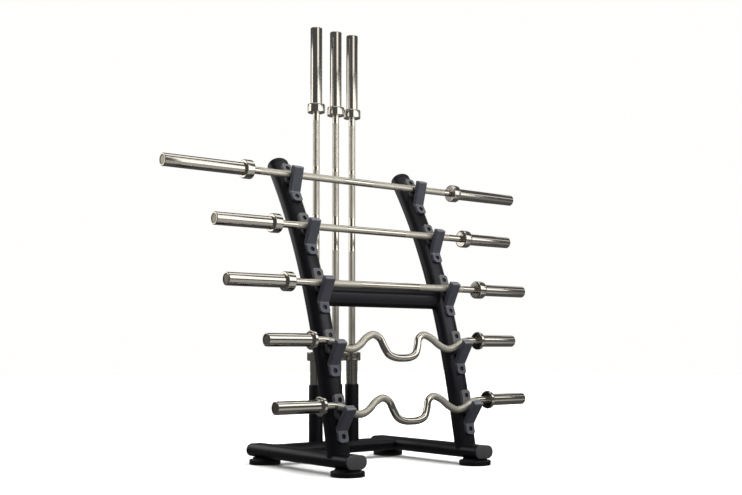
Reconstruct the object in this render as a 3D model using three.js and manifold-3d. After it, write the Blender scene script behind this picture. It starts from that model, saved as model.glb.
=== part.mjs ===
// Barbell storage rack with the eight bars it holds: five hooks up each leaning upright carry
// three straight bars and two curl bars, and three sockets on the base hold bars on end.
// Millimetres, +Z up, floor at zero, hooks facing -Y, origin on the floor at the middle of the base.
import * as THREE from 'three';
import { mergeVertices } from 'three/addons/utils/BufferGeometryUtils.js';
import Module from 'manifold-3d';

const wasm = await Module();
wasm.setup();

// Fit between pieces, and how far a cut runs past what it cuts
const gap = 0.3;
const overrun = 5;
const tubeWall = 3;

// Base: two side rails front to back, one rear member between them, four round feet
const baseLength = 700;
const railFrontInset = 8;
const railWidth = 96;
const railHeight = 54;
const railCapThickness = 4;
const capPlugDepth = 12;
const rearMemberInset = 128;
const footDiameter = 130;
const footNeckDiameter = 100;
const footPadHeight = 20;
const footNeckHeight = 8;
const footEdge = 4;
const footRearInset = 72;

// Uprights: oval tubes that stand on the rails and lean further back as they rise
const hookSpacing = 658;
const uprightHeight = 1225;
const uprightWidth = 95;
const uprightDepth = 76;
const uprightInset = 108;
const uprightLeanRun = 236;
const uprightSweepRun = 193;
const uprightDomeHeight = 25;
const uprightDomeSkew = 0.4;

// Crossbeam between the uprights
const beamHeight = 76;
const beamDepth = 60;
const beamShare = 0.5567;

// Sockets for the standing bars
const socketDiameter = 60;
const socketLength = 241;
const socketFloor = 15;
// Places of the sockets as shares of half the hook spacing
const socketShares = [-0.338, -0.024, 0.246];

// Hooks: a bent arm in front of a flat pad, both screwed to the front of the upright
const hookWidth = 46;
const tabThickness = 8;
const tabLength = 43;
const tabCorner = 13;
const armThickness = 24;
const armLength = 103;
const armAngle = THREE.MathUtils.degToRad(46);
const armCorner = 5;
const armTipRound = 7;
const padThickness = 12;
const padLength = 103;
const padCorner = 12;
const padBelowSeat = 33;
// Heights of the bar seats up the upright, from the top hook down
const seatShares = [0.933, 0.7605, 0.5785, 0.3845, 0.1855];

// Screws of the hooks, each one solid with the piece it holds
const screwHeadDiameter = 15;
const screwSink = 1;
const screwSocketWidth = 8;
const screwSocketDepth = 4;
const screwSocketSides = 6;
const screwShankDiameter = 8;
const screwShankReach = 8;

// Bars
const shaftDiameter = 29;
const sleeveDiameter = 50;
const collarDiameter = 75;
const collarWidth = 37;
const curlCollarWidth = 16;
const collarChamfer = 3;
const sleeveChamfer = 3;
const sleeveEndWall = 12;
const longBarLength = 1829;
const longBarGrip = 1056;
const shortBarLength = 1536;
const shortBarGrip = 960;
const curlBarLength = 1272;
const curlBarGrip = 848;
const standingBarLength = 1746;
const standingBarGrip = 1018;
const upperBarOffset = 6;
const middleBarOffset = 3;

// Curl bar bends: places along half the grip and heights as shares of the drop at the middle
const curlDrop = 73;
const curlPlaceShares = [1, 0.89, 0.79, 0.7, 0.585, 0.49, 0.4, 0.307, 0.238, 0.205, 0.163, 0.09, 0];
const curlHeightShares = [0, 0, -0.1, -0.35, -0.49, -0.27, 0.13, 0.32, 0.1, -0.36, -0.78, -0.96, -1];

// Facets round the curved surfaces: halves are counted over half a turn
const tubeSides = 20;
const tubeHalfSides = 10;
const endHalfSides = 4;
const barSides = 16;
const barHalfSides = 6;
const headSides = 12;
const shankSides = 6;
const bendSteps = 11;
const curlSteps = 72;
const cornerSteps = 2;

// Levels and places worked out from the sizes above
const longBar = { length: longBarLength, grip: longBarGrip, collar: collarWidth };
const shortBar = { length: shortBarLength, grip: shortBarGrip, collar: collarWidth };
const curlBar = { length: curlBarLength, grip: curlBarGrip, collar: curlCollarWidth };
const standingBar = { length: standingBarLength, grip: standingBarGrip, collar: collarWidth };
const railLength = baseLength - railFrontInset - railCapThickness - gap;
const railPlace = (baseLength - railLength) / 2;
const railCapPlace = railFrontInset + railCapThickness / 2 - baseLength / 2;
const rearMemberPlace = baseLength / 2 - rearMemberInset;
const footFrontPlace = (footDiameter - baseLength) / 2;
const footRearPlace = baseLength / 2 - footRearInset;
const uprightFootPlace = uprightInset - baseLength / 2;
const beamPlace = uprightHeight * beamShare;
const socketPlaces = socketShares.map((share) => share * hookSpacing / 2);
const footHeight = footPadHeight + footNeckHeight;
const railMiddle = footHeight + gap + railHeight / 2;
const railTop = railMiddle + railHeight / 2;
const uprightPlace = hookSpacing / 2;
const shaftRadius = shaftDiameter / 2;
const sleeveRadius = sleeveDiameter / 2;
const padFront = uprightDepth / 2 + padThickness;
const tabFront = uprightDepth / 2 + tabThickness;
const seatReach = padFront + shaftRadius + gap;
const seatToArm = (armThickness + shaftRadius + gap) / Math.cos(armAngle);
const bendDrop = (seatReach - tabFront + seatToArm) / Math.tan(armAngle);
const screwHoleRadius = screwShankDiameter / 2 + gap;

const materials = {
  frame: { color: 0x131318, roughness: 0.38, metalness: 0.1 },
  hook: { color: 0x47494f, roughness: 0.62, metalness: 0.1 },
  pad: { color: 0x56565c, roughness: 0.6, metalness: 0.05 },
  cap: { color: 0x3a3a3d, roughness: 0.6, metalness: 0.0 },
  rubber: { color: 0x121214, roughness: 0.75, metalness: 0.0 },
  shaft: { color: 0xb9b5a6, roughness: 0.34, metalness: 0.9 },
  sleeve: { color: 0xa8a398, roughness: 0.22, metalness: 0.95 },
};

function solidFrom(geometry) {
  const bare = geometry.clone();
  bare.deleteAttribute('normal');
  bare.deleteAttribute('uv');
  const merged = mergeVertices(bare);
  const kept = [];
  const index = merged.index.array;
  for (let i = 0; i < index.length; i += 3) {
    const [a, b, c] = [index[i], index[i + 1], index[i + 2]];
    if (a !== b && b !== c && c !== a) kept.push(a, b, c);
  }
  const vertProperties = new Float32Array(merged.attributes.position.array);
  const triVerts = new Uint32Array(kept);
  return new wasm.Manifold(new wasm.Mesh({ numProp: 3, vertProperties, triVerts }));
}

function geometryFrom(solid) {
  const { vertProperties, triVerts } = solid.getMesh();
  const geometry = new THREE.BufferGeometry();
  geometry.setAttribute('position', new THREE.BufferAttribute(vertProperties, 3));
  geometry.setIndex(new THREE.BufferAttribute(triVerts, 1));
  geometry.computeVertexNormals();
  return geometry;
}

function makeMesh(name, solid, look) {
  const mesh = new THREE.Mesh(geometryFrom(solid), new THREE.MeshStandardMaterial(materials[look]));
  mesh.name = name;
  return mesh;
}

function ovalShape(halfX, halfY) {
  const shape = new THREE.Shape();
  shape.absellipse(0, 0, halfX, halfY, 0, Math.PI * 2, false, 0);
  return shape;
}

// Outline of a flat oval: straight top and bottom, or sides, with half-round ends
function flatOvalShape(width, height) {
  const shape = new THREE.Shape();
  const radius = Math.min(width, height) / 2;
  const reachX = width / 2 - radius;
  const reachY = height / 2 - radius;
  if (width > height) {
    shape.absarc(reachX, 0, radius, -Math.PI / 2, Math.PI / 2, false);
    shape.absarc(-reachX, 0, radius, Math.PI / 2, Math.PI * 3 / 2, false);
  } else {
    shape.absarc(0, reachY, radius, 0, Math.PI, false);
    shape.absarc(0, -reachY, radius, Math.PI, Math.PI * 2, false);
  }
  shape.closePath();
  return shape;
}

// Straight bar of a section, centred on the origin, along X, Y or Z; a section's y stays upward
function straight(shape, length, axis, curveSegments) {
  const geometry = new THREE.ExtrudeGeometry(shape, { depth: length, bevelEnabled: false, curveSegments });
  geometry.translate(0, 0, -length / 2);
  if (axis === 'y') geometry.rotateX(Math.PI / 2);
  if (axis === 'x') geometry.rotateZ(Math.PI / 2).rotateY(Math.PI / 2);
  return solidFrom(geometry);
}

function turned(profile, sides) {
  const points = profile.map(([radius, along]) => new THREE.Vector2(radius, along));
  return solidFrom(new THREE.LatheGeometry(points, sides).rotateX(Math.PI / 2));
}

function cylinderAlongY(radius, from, to, sides) {
  const geometry = new THREE.CylinderGeometry(radius, radius, to - from, sides);
  geometry.translate(0, (from + to) / 2, 0);
  return solidFrom(geometry);
}

// Centre line of an upright, by height above the floor
function uprightLean(height) {
  const rise = height / uprightHeight;
  const place = uprightFootPlace + uprightLeanRun * rise + uprightSweepRun * rise ** 3;
  const slope = (uprightLeanRun + 3 * uprightSweepRun * rise ** 2) / uprightHeight;
  return { place, angle: Math.atan(slope) };
}

class UprightLine extends THREE.Curve {
  getPoint(t, target = new THREE.Vector3()) {
    const height = railMiddle + t * (uprightHeight - railMiddle);
    return target.set(0, uprightLean(height).place, height);
  }
}

function uprightSweep(grow, hollow) {
  const shape = ovalShape(uprightWidth / 2 + grow, uprightDepth / 2 + grow);
  if (hollow) {
    shape.holes.push(ovalShape(uprightWidth / 2 - tubeWall, uprightDepth / 2 - tubeWall));
  }
  return solidFrom(new THREE.ExtrudeGeometry(shape, {
    steps: bendSteps,
    curveSegments: tubeHalfSides,
    bevelEnabled: false,
    extrudePath: new UprightLine(),
  }));
}

// A place on the upright: local -y is forward from its face and local +z runs up along it
function uprightFrame(height) {
  const lean = uprightLean(height);
  const group = new THREE.Group();
  group.position.set(0, lean.place, height);
  group.rotation.x = -lean.angle;
  group.updateMatrix();
  return group;
}

function seatHeight(share) {
  return uprightHeight * share;
}

const tabScrewPlace = -bendDrop - tabLength + hookWidth / 2;
const padScrewPlaces = [padLength - padBelowSeat - hookWidth / 2, hookWidth / 2 - padBelowSeat];

// The space a side rail fills, grown by a fit, and run on past both ends when it cuts
function railEnvelope(grow, runOn) {
  const shape = flatOvalShape(railWidth + 2 * grow, railHeight + 2 * grow);
  return straight(shape, railLength + 2 * runOn, 'y', endHalfSides);
}

function makeUpright() {
  let tube = uprightSweep(0, true).add(makeDome().transform(uprightFrame(uprightHeight).matrix.elements));
  tube = tube.subtract(railEnvelope(gap, overrun).translate(0, 0, railMiddle));
  for (const share of seatShares) {
    const frame = uprightFrame(seatHeight(share));
    for (const place of [tabScrewPlace, ...padScrewPlaces]) {
      const hole = cylinderAlongY(screwHoleRadius, -tabFront, -uprightDepth / 2 + tubeWall + overrun, shankSides);
      tube = tube.subtract(hole.translate(0, 0, place).transform(frame.matrix.elements));
    }
  }
  return tube;
}

// Rounded plug that closes the top of an upright, seated in the middle of its wall
function makeDome() {
  const quarter = new THREE.Path().absarc(0, 0, 1, 0, Math.PI / 2, false).getPoints(endHalfSides);
  const profile = [[0, 0], ...quarter.map((point) => [point.x, point.y])];
  profile[profile.length - 1][0] = 0;
  const inset = tubeWall / 2;
  const dome = turned(profile, tubeSides);
  const skew = new THREE.Matrix4().makeShear(0, 0, 0, 0, 0, -uprightDomeSkew);
  return dome.scale([uprightWidth / 2 - inset, uprightDepth / 2 - inset, uprightDomeHeight])
    .transform(skew.elements)
    .translate(0, 0, -tubeWall);
}

function makeRail() {
  const outer = railEnvelope(0, 0);
  const bore = straight(
    flatOvalShape(railWidth - 2 * tubeWall, railHeight - 2 * tubeWall), railLength + 2 * overrun, 'y', endHalfSides);
  return outer.subtract(bore.translate(0, -tubeWall - overrun, 0));
}

function makeRailCap() {
  const plate = straight(flatOvalShape(railWidth, railHeight), railCapThickness, 'y', endHalfSides);
  const inset = 2 * (tubeWall + gap);
  const plugLength = capPlugDepth + railCapThickness / 2;
  const plug = straight(flatOvalShape(railWidth - inset, railHeight - inset), plugLength, 'y', endHalfSides);
  return plate.add(plug.translate(0, plugLength / 2, 0));
}

function makeRearMember() {
  const section = flatOvalShape(railWidth, railHeight);
  const bore = flatOvalShape(railWidth - 2 * tubeWall, railHeight - 2 * tubeWall);
  const tube = straight(section, hookSpacing, 'x', endHalfSides)
    .subtract(straight(bore, hookSpacing + 2 * overrun, 'x', endHalfSides));
  const rail = railEnvelope(gap, overrun);
  return tube.subtract(rail.translate(-uprightPlace, 0, 0)).subtract(rail.translate(uprightPlace, 0, 0));
}

function makeBeam() {
  const lean = uprightLean(beamPlace);
  const tube = straight(flatOvalShape(beamDepth, beamHeight), hookSpacing, 'x', endHalfSides);
  const bore = flatOvalShape(beamDepth - 2 * tubeWall, beamHeight - 2 * tubeWall);
  const beam = tube.subtract(straight(bore, hookSpacing + 2 * overrun, 'x', endHalfSides));
  const upright = uprightSweep(gap, false).translate(0, -lean.place, -beamPlace);
  return beam.subtract(upright.translate(-uprightPlace, 0, 0)).subtract(upright.translate(uprightPlace, 0, 0));
}

function makeSocket() {
  const radius = socketDiameter / 2;
  const tube = turned([
    [0, -railHeight / 2],
    [radius, -railHeight / 2],
    [radius, socketLength],
    [radius - tubeWall, socketLength],
    [radius - tubeWall, socketFloor],
    [0, socketFloor],
  ], tubeSides);
  const section = flatOvalShape(railWidth + 2 * gap, railHeight + 2 * gap);
  const member = straight(section, socketDiameter + 2 * overrun, 'x', endHalfSides);
  return tube.subtract(member.translate(0, 0, -railHeight / 2 - gap));
}

function makeFoot() {
  const radius = footDiameter / 2;
  const neck = footNeckDiameter / 2;
  return turned([
    [0, 0],
    [radius - footEdge, 0],
    [radius, footEdge],
    [radius, footPadHeight - footEdge],
    [radius - footEdge, footPadHeight],
    [neck, footPadHeight],
    [neck, footHeight],
    [0, footHeight],
  ], tubeSides);
}

// Cuts the back of a hook piece to the face of the upright behind it
function seatOnUpright(solid, share) {
  const frame = uprightFrame(seatHeight(share));
  const inverse = frame.matrix.clone().invert();
  return solid.subtract(uprightSweep(gap, false).transform(inverse.elements));
}

// The screw in a hook piece: a sunk head with a hexagon socket, and a shank into the upright
function addScrew(solid, front, place) {
  const sink = cylinderAlongY(screwHeadDiameter / 2, -front - overrun, -front + screwSink, headSides);
  const keyRadius = screwSocketWidth / 2 / Math.cos(Math.PI / screwSocketSides);
  const key = cylinderAlongY(keyRadius, -front - overrun, -front + screwSocketDepth, screwSocketSides);
  const shankEnd = -uprightDepth / 2 + tubeWall + screwShankReach;
  const shank = cylinderAlongY(screwShankDiameter / 2, -front + screwSocketDepth + screwSink, shankEnd, shankSides);
  return solid.subtract(sink.add(key).translate(0, 0, place)).add(shank.translate(0, 0, place));
}

// Side view of the arm as forward reach and height, rounded at the bend and at the tip
function makeHookArm(share) {
  const along = new THREE.Vector2(Math.sin(armAngle), Math.cos(armAngle));
  const inward = new THREE.Vector2(-along.y, along.x).multiplyScalar(armThickness);
  const bend = new THREE.Vector2(tabFront, -bendDrop);
  const tip = bend.clone().addScaledVector(along, armLength);
  const tipInner = tip.clone().add(inward);
  const innerFoot = tipInner.clone().addScaledVector(along, -armLength);
  const cutBack = innerFoot.clone().addScaledVector(along, -innerFoot.x / along.x);
  const tipRound = inward.clone().setLength(armTipRound);
  const bendRound = tabThickness / 2;
  const side = new THREE.Shape();
  side.moveTo(0, -bendDrop - tabLength - overrun);
  side.lineTo(bend.x, -bendDrop - tabLength - overrun);
  side.lineTo(bend.x, bend.y - bendRound);
  side.quadraticCurveTo(bend.x, bend.y, bend.x + along.x * bendRound, bend.y + along.y * bendRound);
  side.lineTo(tip.x - along.x * armTipRound, tip.y - along.y * armTipRound);
  side.quadraticCurveTo(tip.x, tip.y, tip.x + tipRound.x, tip.y + tipRound.y);
  side.lineTo(tipInner.x, tipInner.y);
  side.lineTo(cutBack.x, cutBack.y);
  side.closePath();
  const bar = new THREE.ExtrudeGeometry(side, {
    depth: hookWidth + 2 * overrun,
    bevelEnabled: false,
    curveSegments: cornerSteps,
  });
  bar.translate(0, 0, -hookWidth / 2 - overrun);
  bar.applyMatrix4(new THREE.Matrix4().makeBasis(
    new THREE.Vector3(0, -1, 0), new THREE.Vector3(0, 0, 1), new THREE.Vector3(-1, 0, 0)));
  const outline = hookOutline(-bendDrop - tabLength, tipInner.y + gap, tabCorner, armCorner);
  const reach = tip.x + overrun;
  const front = straight(outline, reach, 'y', cornerSteps).translate(0, -reach / 2, 0);
  return addScrew(seatOnUpright(solidFrom(bar).intersect(front), share), tabFront, tabScrewPlace);
}

// Front view of a hook piece, its foot and its top each with their own corners
function hookOutline(bottom, top, footCorner, topCorner) {
  const half = hookWidth / 2;
  const shape = new THREE.Shape();
  shape.absarc(footCorner - half, bottom + footCorner, footCorner, Math.PI, Math.PI * 3 / 2, false);
  shape.absarc(half - footCorner, bottom + footCorner, footCorner, -Math.PI / 2, 0, false);
  shape.absarc(half - topCorner, top - topCorner, topCorner, 0, Math.PI / 2, false);
  shape.absarc(topCorner - half, top - topCorner, topCorner, Math.PI / 2, Math.PI, false);
  shape.closePath();
  return shape;
}

function makeHookPad(share) {
  const shape = hookOutline(-padBelowSeat, padLength - padBelowSeat, hookWidth / 2, padCorner);
  const plate = straight(shape, padFront, 'y', cornerSteps).translate(0, -padFront / 2, 0);
  return padScrewPlaces.reduce((pad, place) => addScrew(pad, padFront, place), seatOnUpright(plate, share));
}

// Sleeve with its collar: collar face at the origin, open bore from there, closed end at +x
function makeSleeve(length, collarLength, sides) {
  const bore = (shaftRadius + gap) / Math.cos(Math.PI / sides);
  const collar = collarDiameter / 2;
  const sleeve = turned([
    [bore, 0],
    [collar - collarChamfer, 0],
    [collar, collarChamfer],
    [collar, collarLength - collarChamfer],
    [collar - collarChamfer, collarLength],
    [sleeveRadius, collarLength],
    [sleeveRadius, length - sleeveChamfer],
    [sleeveRadius - sleeveChamfer, length],
    [0, length],
    [0, length - sleeveEndWall],
    [bore, length - sleeveEndWall],
    [bore, 0],
  ], sides);
  return sleeve.rotate([0, 90, 0]);
}

function makeShaft(length) {
  const geometry = new THREE.CylinderGeometry(shaftRadius, shaftRadius, length, barSides);
  return solidFrom(geometry.rotateZ(Math.PI / 2));
}

// Centre line of a curl bar's grip, mirrored about the middle, with straight ends inside the sleeves
function curlPoints(bar) {
  const reach = bar.length / 2 - sleeveEndWall - gap;
  const half = curlPlaceShares.map((place, i) => [place * bar.grip / 2, curlHeightShares[i] * curlDrop]);
  const right = [[reach, 0], ...half];
  const left = right.slice(0, -1).reverse().map(([x, z]) => [-x, z]);
  return [...right, ...left].reverse().map(([x, z]) => new THREE.Vector3(x, 0, z));
}

function makeCurlShaft(bar) {
  return solidFrom(new THREE.ExtrudeGeometry(ovalShape(shaftRadius, shaftRadius), {
    steps: curlSteps,
    curveSegments: barHalfSides,
    bevelEnabled: false,
    extrudePath: new THREE.CatmullRomCurve3(curlPoints(bar)),
  }));
}

// How far up the uprights a curl bar's axis lies above the seats, so that its bends just clear the arms
function curlRise(bar) {
  const line = new THREE.CatmullRomCurve3(curlPoints(bar)).getSpacedPoints(curlSteps);
  let rise = 0;
  for (let i = 1; i < line.length; i += 1) {
    const [from, to] = [line[i - 1], line[i]];
    const slope = (to.z - from.z) / (to.x - from.x);
    const reach = shaftRadius * Math.hypot(Math.cos(armAngle), Math.sin(armAngle) * Math.hypot(1, slope));
    const lift = (reach - shaftRadius) / Math.sin(armAngle);
    for (const edge of [uprightPlace - hookWidth / 2, uprightPlace + hookWidth / 2]) {
      if (from.x <= edge && edge < to.x) {
        rise = Math.max(rise, lift - from.z - slope * (edge - from.x));
      }
    }
  }
  return rise;
}

// A bar along X with a sleeve at each end, named for the ends at -x and +x
function makeBar(name, bar, shaft, ends) {
  const group = new THREE.Group();
  group.add(makeMesh(`${name}_shaft`, shaft, 'shaft'));
  const sleeveLength = (bar.length - bar.grip) / 2;
  ends.forEach((end, i) => {
    const sleeve = makeMesh(`${name}_sleeve_${end}`, makeSleeve(sleeveLength, bar.collar, barSides), 'sleeve');
    sleeve.position.x = (i === 0 ? -1 : 1) * bar.grip / 2;
    sleeve.rotation.z = i === 0 ? Math.PI : 0;
    group.add(sleeve);
  });
  return group;
}

function straightShaft(bar) {
  return makeShaft(bar.length - 2 * (sleeveEndWall + gap));
}

const rack = new THREE.Group();

function place(mesh, x, y, z) {
  mesh.position.set(x, y, z);
  rack.add(mesh);
  return mesh;
}

const sides = { left: -1, right: 1 };

for (const [side, sign] of Object.entries(sides)) {
  const x = sign * uprightPlace;
  place(makeMesh(`base_rail_${side}`, makeRail(), 'frame'), x, railPlace, railMiddle);
  place(makeMesh(`rail_cap_${side}`, makeRailCap(), 'cap'), x, railCapPlace, railMiddle);
  place(makeMesh(`upright_${side}`, makeUpright(), 'frame'), x, 0, 0);
  place(makeMesh(`foot_front_${side}`, makeFoot(), 'rubber'), x, footFrontPlace, 0);
  place(makeMesh(`foot_rear_${side}`, makeFoot(), 'rubber'), x, footRearPlace, 0);
}
place(makeMesh('rear_member', makeRearMember(), 'frame'), 0, rearMemberPlace, railMiddle);
place(makeMesh('crossbeam', makeBeam(), 'frame'), 0, uprightLean(beamPlace).place, beamPlace);

const socketNames = ['left', 'middle', 'right'];
socketPlaces.forEach((x, i) => {
  place(makeMesh(`socket_${socketNames[i]}`, makeSocket(), 'frame'), x, rearMemberPlace, railTop + gap);
});

seatShares.forEach((share, i) => {
  for (const [side, sign] of Object.entries(sides)) {
    const frame = uprightFrame(seatHeight(share));
    frame.position.x = sign * uprightPlace;
    frame.add(makeMesh(`hook_${side}_${i + 1}`, makeHookArm(share), 'hook'));
    frame.add(makeMesh(`hook_pad_${side}_${i + 1}`, makeHookPad(share), 'pad'));
    rack.add(frame);
  }
});

const curlLift = curlRise(curlBar);
const hungBars = [
  ['top_bar', longBar, straightShaft(longBar), 0],
  ['upper_bar', shortBar, straightShaft(shortBar), upperBarOffset],
  ['middle_bar', shortBar, straightShaft(shortBar), middleBarOffset],
  ['upper_curl_bar', curlBar, makeCurlShaft(curlBar), 0],
  ['lower_curl_bar', curlBar, makeCurlShaft(curlBar), 0],
];
hungBars.forEach(([name, bar, shaft, offset], i) => {
  const frame = uprightFrame(seatHeight(seatShares[i]));
  const group = makeBar(name, bar, shaft, ['left', 'right']);
  group.position.set(offset, -seatReach, bar === curlBar ? curlLift : 0);
  frame.add(group);
  rack.add(frame);
});

socketPlaces.forEach((x, i) => {
  const name = `standing_bar_${socketNames[i]}`;
  const group = makeBar(name, standingBar, straightShaft(standingBar), ['bottom', 'top']);
  group.rotation.y = -Math.PI / 2;
  group.position.set(x, rearMemberPlace, railTop + gap + socketFloor + gap + standingBar.length / 2);
  rack.add(group);
});

export default rack;
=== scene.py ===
import bisect
import math

import bmesh
import bpy
from mathutils import Matrix, Vector


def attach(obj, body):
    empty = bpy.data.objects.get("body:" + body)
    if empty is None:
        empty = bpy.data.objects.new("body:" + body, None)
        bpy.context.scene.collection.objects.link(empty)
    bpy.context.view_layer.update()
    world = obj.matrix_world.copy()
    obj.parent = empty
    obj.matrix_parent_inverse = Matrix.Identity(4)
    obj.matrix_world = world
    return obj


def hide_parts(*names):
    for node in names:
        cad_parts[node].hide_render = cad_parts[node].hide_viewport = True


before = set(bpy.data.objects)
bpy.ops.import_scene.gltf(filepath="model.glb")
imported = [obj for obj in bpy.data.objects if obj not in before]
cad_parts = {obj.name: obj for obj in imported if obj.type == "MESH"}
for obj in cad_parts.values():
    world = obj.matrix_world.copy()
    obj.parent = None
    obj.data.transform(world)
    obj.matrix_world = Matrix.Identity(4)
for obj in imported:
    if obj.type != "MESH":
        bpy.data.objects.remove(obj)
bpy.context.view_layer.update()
print("rack frame loaded")


# a shader socket that can be used in sums, so that 1 - mask adds its own Math node
class Signal:
    def __init__(self, graph, socket):
        self.graph = graph
        self.socket = socket

    def work(self, operation, first, second):
        return self.graph.add("ShaderNodeMath", {"operation": operation}, {0: first, 1: second})

    def __add__(self, other):
        return self.work("ADD", self, other)

    def __radd__(self, other):
        return self.work("ADD", other, self)

    def __sub__(self, other):
        return self.work("SUBTRACT", self, other)

    def __rsub__(self, other):
        return self.work("SUBTRACT", other, self)

    def __mul__(self, other):
        return self.work("MULTIPLY", self, other)

    def __rmul__(self, other):
        return self.work("MULTIPLY", other, self)


class Graph:
    def __init__(self, tree):
        self.nodes = tree.nodes
        self.links = tree.links
        self.nodes.clear()

    # any node: its settings first, then the values or links of its sockets
    def add(self, kind, settings=None, sockets=None, output=0):
        node = self.nodes.new(kind)
        for key, value in (settings or {}).items():
            if key == "stops":
                for i, (place, colour) in enumerate(value):
                    stop = node.color_ramp.elements[i] if i < 2 else node.color_ramp.elements.new(place)
                    stop.position = place
                    stop.color = (*colour, 1)
            else:
                setattr(node, key, value)
        for key, value in (sockets or {}).items():
            self.feed(node.inputs[key], value)
        return Signal(self, node.outputs[output]) if node.outputs else None

    def feed(self, socket, value):
        if isinstance(value, Signal):
            self.links.new(value.socket, socket)
        elif isinstance(value, tuple) and len(value) == 3 and socket.type == "RGBA":
            socket.default_value = (*value, 1)
        else:
            socket.default_value = value

    def split(self, at, output=0):
        return self.add("ShaderNodeSeparateXYZ", {}, {0: at}, output)


class Finish(Graph):
    def __init__(self, name, **surface):
        self.material = bpy.data.materials.new(name)
        self.material.use_nodes = True
        super().__init__(self.material.node_tree)
        self.surface = self.nodes.new("ShaderNodeBsdfPrincipled")
        self.add("ShaderNodeOutputMaterial", {}, {"Surface": Signal(self, self.surface.outputs[0])})
        self.set(**surface)

    def set(self, **surface):
        for key, value in surface.items():
            self.feed(self.surface.inputs[key.replace("_", " ")], value)

    # Object coordinates
    def place(self):
        return self.add("ShaderNodeTexCoord", output=3)

    # the piece's own UV map, in metres round it and along it
    def pattern(self):
        return self.add("ShaderNodeTexCoord", output=2)

    def noise(self, at, scale, detail=2.0, roughness=0.5):
        sockets = {"Vector": at, "Scale": scale, "Detail": detail, "Roughness": roughness}
        return self.add("ShaderNodeTexNoise", {}, sockets)

    def ramp(self, value, stops):
        return self.add("ShaderNodeValToRGB", {"stops": stops}, {0: value})

    def stretch(self, at, scale):
        return self.add("ShaderNodeMapping", {}, {"Vector": at, "Scale": scale})

    def bump(self, height, distance, strength=1.0):
        sockets = {"Height": height, "Distance": distance, "Strength": strength}
        self.feed(self.surface.inputs["Normal"], self.add("ShaderNodeBump", {}, sockets))


def scaled(colour, share):
    return tuple(min(1.0, channel * share) for channel in colour)


powder = {"shine": 0.55, "tint": (0.85, 0.86, 1.0), "cloudScale": 7.0, "cloudGloss": 0.1, "grainScale": 900.0,
          "grainGloss": 0.04, "peelScale": 520.0, "peelStrength": 0.5}


# powder coat: fine orange peel over slow clouds of gloss
def paintedSteel(name, dark, light, gloss, peel):
    finish = Finish(name, Metallic=0.0, Specular_IOR_Level=powder["shine"], Specular_Tint=powder["tint"])
    at = finish.place()
    clouds = finish.noise(at, powder["cloudScale"], 3.0)
    grain = finish.noise(at, powder["grainScale"], 1.0)
    finish.set(Base_Color=finish.ramp(clouds, [(0.3, dark), (0.72, light)]))
    finish.set(Roughness=gloss + clouds * powder["cloudGloss"] + grain * powder["grainGloss"])
    finish.bump(finish.noise(at, powder["peelScale"], 2.0), peel, powder["peelStrength"])
    return finish.material


matt = {"patchScale": 22.0, "patchGloss": 0.12, "grainShare": 0.5, "grainStrength": 0.6}


# moulded or coated grey pieces, with a fine grain over broad patches
def mattGrey(name, dark, light, gloss, grainScale, depth, shine=0.5):
    finish = Finish(name, Metallic=0.0, Specular_IOR_Level=shine)
    at = finish.place()
    grain = finish.noise(at, grainScale, 4.0, 0.65)
    patches = finish.noise(at, matt["patchScale"], 3.0)
    tone = grain * matt["grainShare"] + patches * (1 - matt["grainShare"])
    finish.set(Base_Color=finish.ramp(tone, [(0.32, dark), (0.68, light)]))
    finish.set(Roughness=gloss + patches * matt["patchGloss"])
    finish.bump(grain, depth, matt["grainStrength"])
    return finish.material


plating = {"fineScale": (30.0, 2600.0, 1.0), "fineGloss": 0.04, "fineStrength": 0.35,
           "streakScale": (420.0, 9.0, 1.0), "paler": 1.1}


# turned and plated steel: fine rings round the bar and long soft streaks along it
def platedSteel(name, tint, gloss, rings, streaks):
    finish = Finish(name, Metallic=1.0)
    at = finish.pattern()
    fine = finish.noise(finish.stretch(at, plating["fineScale"]), 1.0, 2.0)
    long = finish.noise(finish.stretch(at, plating["streakScale"]), 1.0, 3.0)
    finish.set(Base_Color=finish.ramp(long, [(0.3, tint), (0.7, scaled(tint, plating["paler"]))]))
    finish.set(Roughness=gloss + fine * plating["fineGloss"] + long * streaks)
    finish.bump(fine, rings, plating["fineStrength"])
    return finish.material


knurling = {"depthShare": 0.35, "strength": 0.55, "darker": 0.78, "paler": 1.12, "ridgeGloss": 0.12,
            "wearScale": (60.0, 14.0, 1.0), "wearTone": 0.3, "wearGloss": 0.12}


# diamond knurl: two crossed sets of ridges, each pitch metres apart
def knurledSteel(name, tint, gloss, pitch):
    finish = Finish(name, Metallic=1.0)
    at = finish.pattern()
    around = finish.split(at)
    along = finish.split(at, 1)
    rise = [finish.add("ShaderNodeMath", {"operation": "PINGPONG"}, {0: run * (1 / pitch), 1: 0.5})
            for run in (around + along, around - along)]
    ridges = finish.add("ShaderNodeMath", {"operation": "MINIMUM"}, {0: rise[0], 1: rise[1]})
    wear = finish.noise(finish.stretch(at, knurling["wearScale"]), 1.0, 3.0)
    # the grooves between the ridges are painted darker and the ridge tops paler: painted shade and painted
    # highlight, with random wear tone over them
    stops = [(0.1, scaled(tint, knurling["darker"])), (0.62, scaled(tint, knurling["paler"]))]
    finish.set(Base_Color=finish.ramp(ridges + wear * knurling["wearTone"], stops))
    finish.set(Roughness=gloss + wear * knurling["wearGloss"] - ridges * knurling["ridgeGloss"])
    finish.bump(ridges, pitch * knurling["depthShare"], knurling["strength"])
    return finish.material


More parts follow.
